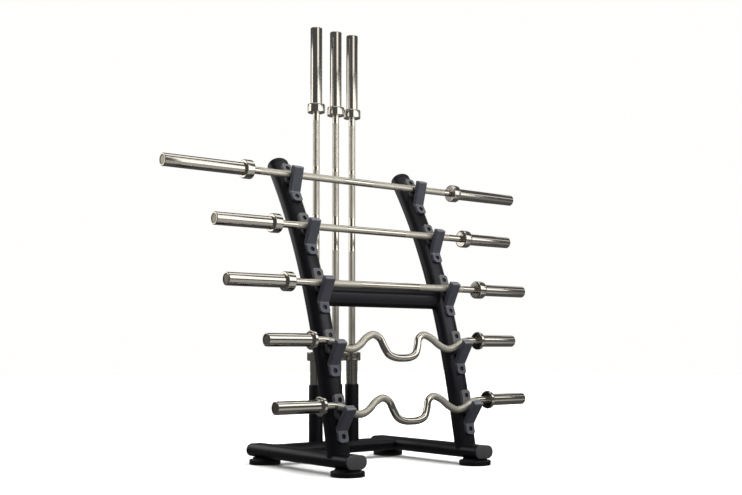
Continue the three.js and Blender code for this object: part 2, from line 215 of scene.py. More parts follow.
finishes = {
    "frame": paintedSteel("satinBlackCoat", dark=(0.001, 0.0009, 0.0014), light=(0.0022, 0.002, 0.003),
                          gloss=0.33, peel=0.0001),
    "weld": paintedSteel("weldUnderCoat", dark=(0.0012, 0.0011, 0.0017), light=(0.0025, 0.0023, 0.0034),
                         gloss=0.36, peel=0.00025),
    "arm": mattGrey("armCoat", dark=(0.076, 0.079, 0.098), light=(0.1, 0.104, 0.128),
                    gloss=0.5, grainScale=1500.0, depth=0.00015, shine=0.2),
    # lighter grey for the arm's bend and the front of its tip: a painted highlight
    "armPaintedHighlight": mattGrey("armPaintedHighlightCoat", dark=(0.12, 0.122, 0.134), light=(0.17, 0.172, 0.186),
                        gloss=0.38, grainScale=1500.0, depth=0.0001, shine=0.4),
    "pad": mattGrey("padPlastic", dark=(0.07, 0.07, 0.076), light=(0.095, 0.095, 0.102),
                    gloss=0.46, grainScale=1200.0, depth=0.00012),
    # lighter grey for the pad's eased front rim: a painted highlight
    "padPaintedHighlight": mattGrey("padRimPaintedHighlight", dark=(0.09, 0.09, 0.097), light=(0.12, 0.12, 0.127),
                        gloss=0.38, grainScale=1200.0, depth=0.0001),
    # near black for the inside of the screw recesses: painted shade
    "recess": mattGrey("screwRecessPaintedShade", dark=(0.001, 0.001, 0.0014), light=(0.003, 0.003, 0.004),
                       gloss=0.6, grainScale=900.0, depth=0.0001),
    "screw": mattGrey("blackenedScrew", dark=(0.012, 0.012, 0.014), light=(0.024, 0.024, 0.027),
                      gloss=0.34, grainScale=2200.0, depth=0.00006),
    "cap": mattGrey("railEndPlastic", dark=(0.042, 0.042, 0.044), light=(0.058, 0.058, 0.061),
                    gloss=0.46, grainScale=1300.0, depth=0.00015),
    "rubber": mattGrey("footRubber", dark=(0.0025, 0.0025, 0.003), light=(0.0055, 0.0055, 0.006),
                       gloss=0.42, grainScale=1000.0, depth=0.00012),
    "shaft": platedSteel("polishedShaft", tint=(0.64, 0.61, 0.55), gloss=0.12, rings=0.0000015, streaks=0.02),
    "knurl": knurledSteel("knurledShaft", tint=(0.82, 0.79, 0.7), gloss=0.42, pitch=0.0016),
    "sleeve": platedSteel("polishedSleeve", tint=(0.64, 0.615, 0.565), gloss=0.1, rings=0.0000015,
                          streaks=0.012),
    "sleeveEnd": platedSteel("sleeveEndPlate", tint=(0.3, 0.285, 0.24), gloss=0.36, rings=0.00001,
                             streaks=0.08),
}
print("finishes made")

hair = 1e-6  # in metres; places closer than this count as one


# a profile of (radius, along) turned once round +z; its UV map runs wrap metres per radian round it
def turned(profile, sides=72, wrap=0.0145):
    bm = bmesh.new()
    points = [bm.verts.new((radius, 0, along)) for radius, along in profile]
    edges = [bm.edges.new(pair) for pair in zip(points, points[1:])]
    bmesh.ops.spin(bm, geom=points + edges, cent=(0, 0, 0), axis=(0, 0, 1), angle=math.tau, steps=sides,
                   use_merge=True)
    bmesh.ops.remove_doubles(bm, verts=bm.verts, dist=hair / 10)
    bmesh.ops.recalc_face_normals(bm, faces=bm.faces)
    layer = bm.loops.layers.uv.new("pattern")
    for face in bm.faces:
        middle = face.calc_center_median()
        home = math.atan2(middle.y, middle.x)
        for loop in face.loops:
            spot = loop.vert.co
            turn = home
            if math.hypot(spot.x, spot.y) >= hair:
                turn = math.atan2(spot.y, spot.x)
                turn += math.tau * round((home - turn) / math.tau)
            loop[layer].uv = (turn * wrap, spot.z)
    return bm


# an arc of profile points about a corner, from one angle to another in degrees
def corner(radius, along, reach, start, end, steps=5):
    angles = [math.radians(start + (end - start) * i / steps) for i in range(steps + 1)]
    return [(radius + reach * math.cos(a), along + reach * math.sin(a)) for a in angles]


def only(items, kind):
    return [item for item in items if isinstance(item, kind)]


# the edges where two faces meet more sharply than fold, in radians
def rims(bm, fold=1.2):
    return [edge for edge in bm.edges if edge.calc_face_angle(0) > fold]


def ease(bm, geom, offset, segments, affect="EDGES"):
    return bmesh.ops.bevel(bm, geom=geom, offset=offset, segments=segments, profile=0.5, affect=affect,
                           material=-1)


# pulls a flat outline out into a solid
def pull(bm, way):
    pulled = bmesh.ops.extrude_face_region(bm, geom=bm.faces[:])["geom"]
    bmesh.ops.translate(bm, verts=only(pulled, bmesh.types.BMVert), vec=way)
    bmesh.ops.recalc_face_normals(bm, faces=bm.faces)


# a flat oval outline pulled to a length along z, centred, with its ends rounded over
def flatOval(width, height, length, edge=0, sides=64):
    bm = bmesh.new()
    bmesh.ops.create_circle(bm, cap_ends=True, radius=min(width, height) / 2, segments=sides,
                            matrix=Matrix.Rotation(math.pi / sides, 4, "Z"))
    for vert in bm.verts:
        if width > height:
            vert.co.x += math.copysign((width - height) / 2, vert.co.x)
        else:
            vert.co.y += math.copysign((height - width) / 2, vert.co.y)
    pull(bm, (0, 0, length))
    bmesh.ops.translate(bm, verts=bm.verts, vec=(0, 0, -length / 2))
    if edge:
        ease(bm, rims(bm), edge, 4)
    return bm


def lineLength(line):
    return sum((there - here).length for here, there in zip(line, line[1:]))


# bends a straight shape, built along +z, to a line; across stays square to the line's plane
def bendTo(bm, line, across):
    steps = [there - here for here, there in zip(line, line[1:])]
    runs = [0.0]
    for step in steps:
        runs.append(runs[-1] + step.length)
    ways = [step.normalized() for step in steps]
    headings = [ways[0]] + [(a + b).normalized() for a, b in zip(ways, ways[1:])] + [ways[-1]]
    for vert in bm.verts:
        i = min(max(bisect.bisect_right(runs, vert.co.z) - 1, 0), len(steps) - 1)
        share = (vert.co.z - runs[i]) / (runs[i + 1] - runs[i])
        heading = headings[i].lerp(headings[i + 1], min(max(share, 0), 1)).normalized()
        vert.co = line[i] + steps[i] * share + across * vert.co.x + heading.cross(across) * vert.co.y


# how far an ellipse reaches to its side, at a place along its axis
def ellipse(along, half, reach):
    return reach * math.sqrt(max(0, 1 - (along / half) ** 2))


def shift(x, y, z):
    return Matrix.Translation((x, y, z))


def moved(bm, matrix):
    bmesh.ops.transform(bm, matrix=matrix, verts=bm.verts)
    return bm


def toObject(name, bm):
    mesh = bpy.data.meshes.new(name)
    bm.to_mesh(mesh)
    bm.free()
    thing = bpy.data.objects.new(name, mesh)
    bpy.context.collection.objects.link(thing)
    return thing


# a visible piece: used names its finishes, nodes the CAD nodes that it stands for
def finishPiece(name, bm, body, used, nodes=(), sharp=32):
    for face in bm.faces:
        face.smooth = True
    for edge in bm.edges:
        edge.smooth = edge.calc_face_angle(0) < math.radians(sharp)
    piece = toObject(name, bm)
    for finish in used:
        piece.data.materials.append(finishes[finish])
    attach(piece, body)
    if nodes:
        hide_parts(*nodes)


sides = {"left": -1, "right": 1}  # the way to each side along x
frontToRear = Matrix.Rotation(math.pi / 2, 4, "X")  # lays a shape's length along y
sideToSide = Matrix.Rotation(math.pi / 2, 4, "Y") @ Matrix.Rotation(math.pi / 2, 4, "Z")
barToSide = Matrix.Rotation(math.pi / 2, 4, "Y")  # lays a bar's +z along +x
endForEnd = Matrix.Rotation(math.pi, 4, "X")

rail = {"x": 0.329, "front": -0.3377, "rear": 0.35, "width": 0.096, "height": 0.054, "middle": 0.0553,
        "edge": 0.004}
railCap = {"front": -0.342, "thickness": 0.0043, "edge": 0.0028}
railCapMiddle = railCap["front"] + railCap["thickness"] / 2
for side, sign in sides.items():
    bm = flatOval(rail["width"], rail["height"], rail["rear"] - rail["front"], rail["edge"])
    moved(bm, shift(sign * rail["x"], (rail["rear"] + rail["front"]) / 2, rail["middle"]) @ frontToRear)
    finishPiece(f"railTube_{side}", bm, "rack", ["frame"], [f"base_rail_{side}"])
    bm = flatOval(rail["width"], rail["height"], railCap["thickness"])
    moved(bm, shift(sign * rail["x"], railCapMiddle, rail["middle"]) @ frontToRear)
    faceRim = [edge for edge in rims(bm) if max(vert.co.y for vert in edge.verts) < railCapMiddle]
    ease(bm, faceRim, railCap["edge"], 5)
    finishPiece(f"railEnd_{side}", bm, "rack", ["cap"], [f"rail_cap_{side}"])
print("rails made")

foot = {"radius": 0.065, "neck": 0.05, "pad": 0.02, "height": 0.028, "soleInset": 0.004, "soleRound": 0.003,
        "padRound": 0.004, "fillet": 0.002, "grooveDepth": 0.0012, "groove": (0.0085, 0.0092, 0.0108, 0.0115),
        "places": {"front": -0.285, "rear": 0.278}}


def footProfile():
    outer = foot["radius"]
    inner = outer - foot["grooveDepth"]
    profile = [(0, 0), (outer - foot["soleInset"], 0)]
    profile += corner(outer - foot["soleRound"], foot["soleRound"], foot["soleRound"], -90, 0, 4)
    profile += zip((outer, inner, inner, outer), foot["groove"])
    profile += corner(outer - foot["padRound"], foot["pad"] - foot["padRound"], foot["padRound"], 0, 90)
    profile += [(foot["neck"] + foot["fillet"], foot["pad"]), (foot["neck"], foot["pad"] + foot["fillet"])]
    return profile + [(foot["neck"], foot["height"]), (0, foot["height"])]


for end, y in foot["places"].items():
    for side, sign in sides.items():
        bm = moved(turned(footProfile()), shift(sign * rail["x"], y, 0))
        finishPiece(f"rubberFoot_{end}_{side}", bm, "rack", ["rubber"], [f"foot_{end}_{side}"])
print("feet made")

rearMember = {"y": 0.222, "reach": 0.3065}
bm = flatOval(rail["width"], rail["height"], 2 * rearMember["reach"])
moved(bm, shift(0, rearMember["y"], rail["middle"]) @ sideToSide)
finishPiece("rearTube", bm, "rack", ["frame"], ["rear_member"])
print("rear member made")

upright = {"height": 1.225, "foot": -0.242, "lean": 0.236, "sweep": 0.193, "halfWidth": 0.0475,
           "halfDepth": 0.038, "rings": 90, "dome": 0.0235, "domeSkew": 0.4, "domeRings": 12,
           "spareLine": 0.002}


# how far back an upright's middle lies at a height, and how far it leans there
def leanAt(height):
    rise = height / upright["height"]
    place = upright["foot"] + upright["lean"] * rise + upright["sweep"] * rise ** 3
    slope = (upright["lean"] + 3 * upright["sweep"] * rise ** 2) / upright["height"]
    return place, math.atan(slope)


def uprightFrame(height):
    place, angle = leanAt(height)
    return shift(0, place, height) @ Matrix.Rotation(-angle, 4, "X")


# how far in front of an upright's middle its skin lies, at a place across it
def uprightSkin(x):
    return ellipse(x, upright["halfWidth"], upright["halfDepth"])


shares = [i / upright["rings"] for i in range(upright["rings"] + 1)]
heights = [rail["middle"] + (upright["height"] - rail["middle"]) * share for share in shares]
uprightLine = [Vector((0, leanAt(height)[0], height)) for height in heights]
uprightRun = lineLength(uprightLine)
# the line goes on past the top, so that the dome keeps the lean that the tube ends with
uprightLine.append(uprightFrame(upright["height"]) @ Vector((0, 0, upright["dome"] + upright["spareLine"])))
uprightProfile = [(0, 0)] + [(1, uprightRun * share) for share in shares]
for i in range(1, upright["domeRings"]):
    angle = math.pi / 2 * i / upright["domeRings"]
    uprightProfile.append((math.cos(angle), uprightRun + upright["dome"] * math.sin(angle)))
uprightProfile.append((0, uprightRun + upright["dome"]))
for side, sign in sides.items():
    bm = turned(uprightProfile)
    for vert in bm.verts:
        vert.co.x *= upright["halfWidth"]
        vert.co.y *= upright["halfDepth"]
        vert.co.y -= upright["domeSkew"] * max(0, vert.co.z - uprightRun)
    bendTo(bm, uprightLine, Vector((1, 0, 0)))
    moved(bm, shift(sign * rail["x"], 0, 0))
    finishPiece(f"uprightTube_{side}", bm, "rack", ["frame"], [f"upright_{side}"])
print("uprights made")

crossbeam = {"height": 0.68196, "tall": 0.076, "deep": 0.06, "reach": 0.3042}
beamPlace = leanAt(crossbeam["height"])[0]
bm = flatOval(crossbeam["deep"], crossbeam["tall"], 2 * crossbeam["reach"])
moved(bm, shift(0, beamPlace, crossbeam["height"]) @ sideToSide)
finishPiece("crossTube", bm, "rack", ["frame"], ["crossbeam"])
print("crossbeam made")

socket = {"radius": 0.03, "wall": 0.003, "top": 0.3236, "floor": 0.0976, "rim": 0.0014, "sides": 56,
          "places": {"left": -0.1112, "middle": -0.0079, "right": 0.0809}}


def socketProfile():
    outer = socket["radius"]
    bore = outer - socket["wall"]
    rim = socket["rim"]
    profile = [(0, rail["middle"]), (outer, rail["middle"])]
    profile += corner(outer - rim, socket["top"] - rim, rim, 0, 90, 3)
    profile += corner(bore + rim, socket["top"] - rim, rim, 90, 180, 3)
    return profile + [(bore, socket["floor"]), (0, socket["floor"])]


for name, x in socket["places"].items():
    bm = moved(turned(socketProfile(), socket["sides"]), shift(x, rearMember["y"], 0))
    finishPiece(f"socketTube_{name}", bm, "rack", ["frame"], [f"socket_{name}"])
print("sockets made")

# heights on a hook are taken from the middle of the bar that rests on it
hook = {"width": 0.046, "rowGap": 0.0075, "cornerSteps": 10,
        "seatShares": [0.933, 0.7605, 0.5785, 0.3845, 0.1855]}
arm = {"front": 0.046, "bend": -0.07209, "tab": 0.043, "reach": 0.103, "thick": 0.024,
       "angle": math.radians(46), "bendRun": 0.005, "bendRows": 4, "tabCorner": 0.013, "tipCorner": 0.005,
       "edge": 0.0016, "tipRound": 0.007, "tipRows": 6, "tipHighlight": 1.25, "tipHighlightDepth": 0.001}
pad = {"front": 0.05, "low": -0.033, "high": 0.07, "thick": 0.02, "topCorner": 0.012, "edge": 0.0024}
screw = {"recess": 0.0098, "recessDepth": 0.005, "face": 0.0048, "key": 0.003, "sunk": 0.0032,
         "flare": 1.12, "chamfer": 0.0008, "depth": 0.003}
armScrewHeight = arm["bend"] - arm["tab"] + hook["width"] / 2
padScrewHeights = {"upper": pad["high"] - hook["width"] / 2, "lower": pad["low"] + hook["width"] / 2}


# cuts a round recess for a screw head into the front of a plate; its wall and floor take the near-black third
# finish, painted shade
def sinkScrew(bm, front, height):
    drill = bmesh.new()
    bmesh.ops.create_cone(drill, cap_ends=True, segments=32, radius1=screw["recess"], radius2=screw["recess"],
                          depth=2 * screw["recessDepth"], matrix=shift(0, -front, height) @ frontToRear)
    plate = toObject("plate", bm)
    cutter = toObject("cutter", drill)
    cut = plate.modifiers.new("cut", "BOOLEAN")
    cut.operation = "DIFFERENCE"
    cut.solver = "EXACT"
    cut.object = cutter
    bpy.context.view_layer.update()
    graph = bpy.context.evaluated_depsgraph_get()
    bm = bmesh.new()
    bm.from_mesh(bpy.data.meshes.new_from_object(plate.evaluated_get(graph)))
    slack = 0.0003
    # faces on the recess's wall and floor take the near-black finish: painted shade
    for face in bm.faces:
        middle = face.calc_center_median()
        sunk = middle.y + front
        inside = math.hypot(middle.x, middle.z - height) < screw["recess"] + slack
        if inside and slack < sunk < screw["recessDepth"] + slack:
            face.material_index = 2
    for thing in (plate, cutter):
        bpy.data.objects.remove(thing)
    return bm


# a plate cut to a hook piece's front view, from its face back
def cutPlate(front, low, high, lowCorner, highCorner, thick):
    bm = bmesh.new()
    bmesh.ops.create_grid(bm, x_segments=1, y_segments=1, size=0.5)
    for vert in bm.verts:
        vert.co = Vector((vert.co.x * hook["width"], -front, low if vert.co.y < 0 else high))
    for reach, height in ((lowCorner, low), (highCorner, high)):
        ends = [vert for vert in bm.verts if abs(vert.co.z - height) < hair]
        ease(bm, ends, reach, hook["cornerSteps"], "VERTICES")
    bmesh.ops.remove_doubles(bm, verts=bm.verts, dist=50 * hair)
    pull(bm, (0, thick, 0))
    return bm


def cutAcross(bm, spot, direction):
    everything = bm.verts[:] + bm.edges[:] + bm.faces[:]
    bmesh.ops.bisect_plane(bm, geom=everything, plane_co=spot, plane_no=direction)


# rows up and down a plate, so that its back can follow the round tube
def addRows(bm):
    for i in range(-2, 3):
        cutAcross(bm, (hook["rowGap"] * i, 0, 0), (1, 0, 0))


# rounds the front of the arm's tip back, less and less towards its rear face
def roundTip(bm, high):
    for vert in bm.verts:
        rise = vert.co.z - (high - arm["tipRound"])
        if rise > 0:
            back = arm["tipRound"] - ellipse(rise, arm["tipRound"], arm["tipRound"])
            vert.co.y += back * (1 - (vert.co.y + arm["front"]) / arm["thick"])


# folds what lies above the bend's rows forward, a little at each row, and sets the rest against the tube
def foldArm(bm, rows):
    step = Matrix.Rotation(arm["angle"] / len(rows), 4, "X")
    folds = [Matrix.Identity(4)]
    for row in rows:
        pivot = Vector((0, -arm["front"], row))
        folds.append(folds[-1] @ Matrix.Translation(pivot) @ step @ Matrix.Translation(-pivot))
    for vert in bm.verts:
        vert.co = folds[sum(vert.co.z > row + hair for row in rows)] @ vert.co
        vert.co.y = min(vert.co.y, -uprightSkin(vert.co.x))


# the arm is cut flat and its rim is eased, then it is folded forward; its bend and the front of its tip take
# a lighter finish, a painted highlight
def hookArm():
    high = arm["bend"] + arm["reach"]
    bm = cutPlate(arm["front"], arm["bend"] - arm["tab"], high, arm["tabCorner"], arm["tipCorner"],
                  arm["thick"])
    ease(bm, rims(bm), arm["edge"], 3)
    bendRows = [arm["bend"] + arm["bendRun"] * (i / arm["bendRows"] - 0.5)
                for i in range(arm["bendRows"] + 1)]
    tipRows = [high - arm["tipRound"] * (1 - math.sin(math.pi / 2 * i / arm["tipRows"]))
               for i in range(arm["tipRows"])]
    for row in bendRows + tipRows:
        cutAcross(bm, (0, 0, row), (0, 0, 1))
    addRows(bm)
    bm = sinkScrew(bm, arm["front"], armScrewHeight)
    # the bend and the front of the tip take the lighter finish, a painted highlight
    for face in bm.faces:
        middle = face.calc_center_median()
        atBend = bendRows[0] < middle.z < bendRows[-1]
        nearTip = middle.z > high - arm["tipRound"] * arm["tipHighlight"]
        if atBend or nearTip and middle.y < arm["tipHighlightDepth"] - arm["front"]:
            face.material_index = 1
    roundTip(bm, high)
    foldArm(bm, bendRows)
    return bm


# the pad's back follows the tube; its eased front rim takes a lighter finish, a painted highlight
def hookPad():
    middle = pad["thick"] / 2 - pad["front"]
    bm = cutPlate(pad["front"], pad["low"], pad["high"], hook["width"] / 2 - 10 * hair, pad["topCorner"],
                  pad["thick"])
    faceRim = [edge for edge in rims(bm) if edge.verts[0].co.y < middle]
    for face in ease(bm, faceRim, pad["edge"], 4)["faces"]:
        face.material_index = 1
    addRows(bm)
    for height in padScrewHeights.values():
        bm = sinkScrew(bm, pad["front"], height)
    for vert in bm.verts:
        if vert.co.y > middle:
            vert.co.y = -uprightSkin(vert.co.x)
    return bm


# socket-head screw whose face lies a little inside the recess
def hookScrew(front, height):
    bm = bmesh.new()
    face = bmesh.ops.create_circle(bm, segments=24, radius=screw["face"])["verts"]
    key = bmesh.ops.create_circle(bm, segments=6, radius=screw["key"])["verts"]
    rim = [edge for edge in bm.edges if edge.verts[0] in face]
    well = [edge for edge in bm.edges if edge.verts[0] in key]
    bmesh.ops.bridge_loops(bm, edges=rim + well)
    down = (1, screw["depth"])
    for loop, steps in ((rim, [(screw["flare"], screw["chamfer"]), down]), (well, [down])):
        for grow, drop in steps:
            pulled = bmesh.ops.extrude_edge_only(bm, edges=loop)["geom"]
            verts = only(pulled, bmesh.types.BMVert)
            bmesh.ops.scale(bm, vec=(grow, grow, 1), verts=verts)
            bmesh.ops.translate(bm, vec=(0, 0, -drop), verts=verts)
            loop = only(pulled, bmesh.types.BMEdge)
        bmesh.ops.edgeloop_fill(bm, edges=loop)
    bmesh.ops.recalc_face_normals(bm, faces=bm.faces)
    return moved(bm, shift(0, screw["sunk"] - front, height) @ frontToRear)


hookShapes = {"arm": hookArm(), "pad": hookPad(), "armScrew": hookScrew(arm["front"], armScrewHeight)}
for end, height in padScrewHeights.items():
    hookShapes[f"{end}PadScrew"] = hookScrew(pad["front"], height)


def hookCopy(kind, lie):
    return moved(hookShapes[kind].copy(), lie)


for level, share in enumerate(hook["seatShares"], 1):
    for side, sign in sides.items():
        lie = shift(sign * rail["x"], 0, 0) @ uprightFrame(upright["height"] * share)
        place = f"{side}_{level}"
        finishPiece(f"hookArm_{place}", hookCopy("arm", lie), "rack",
                    ["arm", "armPaintedHighlight", "recess"], [f"hook_{place}"])
        finishPiece(f"hookPad_{place}", hookCopy("pad", lie), "rack",
                    ["pad", "padPaintedHighlight", "recess"], [f"hook_pad_{place}"])
        finishPiece(f"armScrew_{place}", hookCopy("armScrew", lie), "rack", ["screw"])
        for end in padScrewHeights:
            bm = hookCopy(f"{end}PadScrew", lie)
            finishPiece(f"{end}PadScrew_{place}", bm, "rack", ["screw"])
for bm in hookShapes.values():
    bm.free()
print("hooks made")

weld = {"radius": 0.0022, "swell": 0.0007, "swellTurn": 2.1, "points": 48, "sharp": 80}


# how far over a lying rail tube's middle its skin lies, at a place across it
def railSkin(across):
    half = rail["height"] / 2
    past = max(0, abs(across) - (rail["width"] - rail["height"]) / 2)
    return ellipse(past, half, half)


# each joint is a spot on a weld's run, at a turn round it
def uprightJoint(turn, sign):
    x = math.cos(turn) * upright["halfWidth"]
    height = rail["middle"] + railSkin(x)
    place, angle = leanAt(height)
    return sign * rail["x"] + x, place + math.sin(turn) * upright["halfDepth"] / math.cos(angle), height


def beamJoint(turn, sign):
    half = crossbeam["deep"] / 2
    flat = crossbeam["tall"] / 2 - half
    y = beamPlace + math.cos(turn) * half
    height = crossbeam["height"] + math.sin(turn) * half + math.copysign(flat, math.sin(turn))
    reach = ellipse(y - leanAt(height)[0], upright["halfDepth"], upright["halfWidth"])
    return sign * (rail["x"] - reach), y, height


def rearJoint(turn, sign):
    half = rail["height"] / 2
    flat = rail["width"] / 2 - half
    up = math.sin(turn) * half
    y = rearMember["y"] + math.cos(turn) * half + math.copysign(flat, math.cos(turn))
    return sign * (rail["x"] - flat - ellipse(up, half, half)), y, rail["middle"] + up


def socketJoint(turn, x):
    back = math.sin(turn) * socket["radius"]
    return x + math.cos(turn) * socket["radius"], rearMember["y"] + back, rail["middle"] + railSkin(back)


# a thin closed bead laid round a joint, a little uneven along its run
def weldBead(name, joint, where):
    curve = bpy.data.curves.new(name, "CURVE")
    curve.dimensions = "3D"
    curve.bevel_depth = weld["radius"]
    curve.bevel_resolution = 1
    run = curve.splines.new("POLY")
    run.points.add(weld["points"] - 1)
    run.use_cyclic_u = True
    for i, point in enumerate(run.points):
        point.co = (*joint(math.tau * i / weld["points"], where), 1)
        point.radius = 1 + weld["swell"] / weld["radius"] * math.sin(i * weld["swellTurn"])
    bead = bpy.data.objects.new(name, curve)
    bpy.context.collection.objects.link(bead)
    bpy.context.view_layer.update()
    mesh = bpy.data.meshes.new_from_object(bead.evaluated_get(bpy.context.evaluated_depsgraph_get()))
    bpy.data.objects.remove(bead)
    bm = bmesh.new()
    bm.from_mesh(mesh)
    bmesh.ops.recalc_face_normals(bm, faces=bm.faces)
    finishPiece(name, bm, "rack", ["weld"], sharp=weld["sharp"])


for side, sign in sides.items():
    weldBead(f"uprightWeld_{side}", uprightJoint, sign)
    weldBead(f"beamWeld_{side}", beamJoint, sign)
    weldBead(f"rearWeld_{side}", rearJoint, sign)
for name, x in socket["places"].items():
    weldBead(f"socketWeld_{name}", socketJoint, x)
print("welds made")

# mouth: out from the shaft's skin and down the bore; faceLine: the fine line cut in the collar's face;
# plateSteps: out from the end plate's rim and down from the sleeve's end
sleeve = {"radius": 0.025, "collar": 0.0375, "collarRound": 0.0045, "shoulder": 0.0015, "tipRound": 0.003,
          "mouth": [(0.0006, 0.004), (0.0006, 0.001), (0.0016, 0)],
          "faceLine": [(0.029, 0), (0.0292, 0.0006), (0.0306, 0.0006), (0.0308, 0)],
          "plate": 0.0185, "plateInset": 0.0016,
          "plateSteps": [(0.0016, 0), (0.001, 0.0006), (0.001, 0.0016), (-0.002, 0.0016),
                         (-0.0024, 0.0028), (-0.0036, 0.0028), (-0.004, 0.0016)]}
shaft = {"radius": 0.0145, "chamfer": 0.001, "sides": 40, "step": 0.05, "endInset": 0.0125}
barSharp = 40  # a bar keeps a sharp edge only where its faces fold more than this, in degrees


# a sleeve from its collar's inner face at z 0 to its end
def sleeveShape(length, wide):
    radius = sleeve["radius"]
    edge = sleeve["collarRound"]
    tip = sleeve["tipRound"]
    shoulder = sleeve["shoulder"]
    profile = [(shaft["radius"] + out, along) for out, along in sleeve["mouth"]] + sleeve["faceLine"]
    profile += corner(sleeve["collar"] - edge, edge, edge, -90, 0, 6)
    profile += corner(sleeve["collar"] - edge, wide - edge, edge, 0, 90, 6)
    profile += [(radius + shoulder, wide), (radius, wide + shoulder), (radius, length / 2)]
    profile += corner(radius - tip, length - tip, tip, 0, 90)
    profile += [(sleeve["plate"] + out, length - down) for out, down in sleeve["plateSteps"]]
    profile.append((0, length - sleeve["plateInset"]))
    bm = turned(profile, wrap=radius)
    for face in bm.faces:
        middle = face.calc_center_median()
        if middle.z > length / 2 and math.hypot(middle.x, middle.y) < sleeve["plate"]:
            face.material_index = 1
    return bm


# a straight shaft about its middle; zones are the knurled stretches of each half, rings the marks in them
def shaftShape(half, zones, rings, step):
    stops = sorted({0.0, half} | {edge for stretch in zones + rings for edge in stretch})
    rows = []
    for near, far in zip(stops, stops[1:]):
        parts = max(1, math.ceil((far - near) / step))
        rows += [near + (far - near) * i / parts for i in range(parts)]
    rows = [-row for row in rows[:0:-1]] + rows
    radius = shaft["radius"]
    cut = shaft["chamfer"]
    profile = [(0, -half), (radius - cut, -half), (radius, cut - half)] + [(radius, row) for row in rows]
    profile += [(radius, half - cut), (radius - cut, half), (0, half)]
    bm = turned(profile, shaft["sides"], radius)
    for face in bm.faces:
        along = abs(face.calc_center_median().z)
        inZone = any(near < along < far for near, far in zones)
        inRing = any(near < along < far for near, far in rings)
        face.material_index = 1 if inZone and not inRing else 0
    return bm


# lie is where a bar's middle is, with +z the way that the bar points
def placeSleeves(name, kind, lie, ends=("left", "right")):
    half = shift(0, 0, kind["grip"] / 2)
    for end, way in zip(ends, (endForEnd @ half, half)):
        bm = moved(sleeveShape((kind["length"] - kind["grip"]) / 2, kind["collar"]), lie @ way)
        body = f"{name}_sleeve_{end}"
        finishPiece(f"{name}_turnedSleeve_{end}", bm, body, ["sleeve", "sleeveEnd"], [body],
                    barSharp)


def placeShaft(name, bm):
    finishPiece(f"{name}_gripShaft", bm, name, ["shaft", "knurl"], [f"{name}_shaft"], barSharp)


def straightBar(name, kind, lie, ends=("left", "right")):
    placeSleeves(name, kind, lie, ends)
    grip = kind["grip"] / 2
    zones, rings = [[(near * grip, far * grip) for near, far in kind[marks]] for marks in ("zones", "rings")]
    bm = shaftShape(kind["length"] / 2 - shaft["endInset"], zones, rings, shaft["step"])
    placeShaft(name, moved(bm, lie))


restGap = 0.0003  # a resting bar's clearance
seatReach = pad["front"] + shaft["radius"] + restGap


# where a bar's middle rests on a pair of hooks, counted from the top one
def seatAt(level, along=0, up=0):
    return uprightFrame(upright["height"] * hook["seatShares"][level - 1]) @ shift(along, -seatReach, up)


# knurled zones and plain rings are shares of half the grip
longBar = {"length": 1.829, "grip": 1.056, "collar": 0.037, "zones": [(0.142, 0.922)],
           "rings": [(0.5625, 0.585)]}
shortBar = {"length": 1.536, "grip": 0.96, "collar": 0.037, "zones": [(0.32, 0.85)], "rings": [(0.833, 0.85)]}
standingBar = {"length": 1.746, "grip": 1.018, "collar": 0.037, "zones": [(0.142, 0.935)],
               "rings": [(0.52, 0.55)]}
straightBar("top_bar", longBar, seatAt(1) @ barToSide)
straightBar("upper_bar", shortBar, seatAt(2, along=0.006) @ barToSide)
straightBar("middle_bar", shortBar, seatAt(3, along=0.003) @ barToSide)
for place, x in socket["places"].items():
    middle = socket["floor"] + restGap + standingBar["length"] / 2
    straightBar(f"standing_bar_{place}", standingBar, shift(x, rearMember["y"], middle), ("bottom", "top"))
print("straight bars made")

# places along half the grip, and heights over the grip's ends as shares of the drop
curlBar = {"length": 1.272, "grip": 0.848, "collar": 0.016, "drop": 0.073, "rise": 0.02258,
           "endInset": 0.0123,
           "placeShares": [1, 0.89, 0.79, 0.7, 0.585, 0.49, 0.4, 0.307, 0.238, 0.205, 0.163, 0.09, 0],
           "heightShares": [0, 0, -0.1, -0.35, -0.49, -0.27, 0.13, 0.32, 0.1, -0.36, -0.78, -0.96, -1],
           "knurlStart": 0.155, "plainEnd": 0.062, "sleeveSet": 0.1997, "smoothing": 16, "step": 0.005,
           "seats": {"upper_curl_bar": 4, "lower_curl_bar": 5}}


# a smooth line through points, with each stretch's bend set by the spacing of the points beside it
def smoothLine(points, steps):
    padded = [points[0] * 2 - points[1]] + points + [points[-1] * 2 - points[-2]]
    line = []
    for i in range(1, len(padded) - 2):
        before, here, there, after = padded[i - 1:i + 3]
        a, b, c = [math.sqrt((v - u).length) for u, v in ((before, here), (here, there), (there, after))]
        leave = ((here - before) / a - (there - before) / (a + b) + (there - here) / b) * b
        arrive = ((there - here) / b - (after - here) / (b + c) + (after - there) / c) * b
        for k in range(steps):
            t = k / steps
            line.append(here + leave * t + (there * 3 - here * 3 - leave * 2 - arrive) * t ** 2 +
                        (here * 2 - there * 2 + leave + arrive) * t ** 3)
    return line + [padded[-2]]


rightHalf = [Vector((curlBar["length"] / 2 - curlBar["endInset"], 0, 0))]
rightHalf += [Vector((place * curlBar["grip"] / 2, 0, height * curlBar["drop"]))
              for place, height in zip(curlBar["placeShares"], curlBar["heightShares"])]
leftHalf = [Vector((-point.x, 0, point.z)) for point in rightHalf]
curlLine = smoothLine(leftHalf + rightHalf[-2::-1], curlBar["smoothing"])
curlReach = lineLength(curlLine) / 2
curlKnurl = (curlBar["knurlStart"], curlReach - curlBar["sleeveSet"] - curlBar["plainEnd"])
for name, level in curlBar["seats"].items():
    lie = seatAt(level, up=curlBar["rise"])
    placeSleeves(name, curlBar, lie @ barToSide)
    bm = moved(shaftShape(curlReach, [curlKnurl], [], curlBar["step"]), shift(0, 0, curlReach))
    bendTo(bm, curlLine, Vector((0, 1, 0)))
    placeShaft(name, moved(bm, lie))
print("curl bars made")

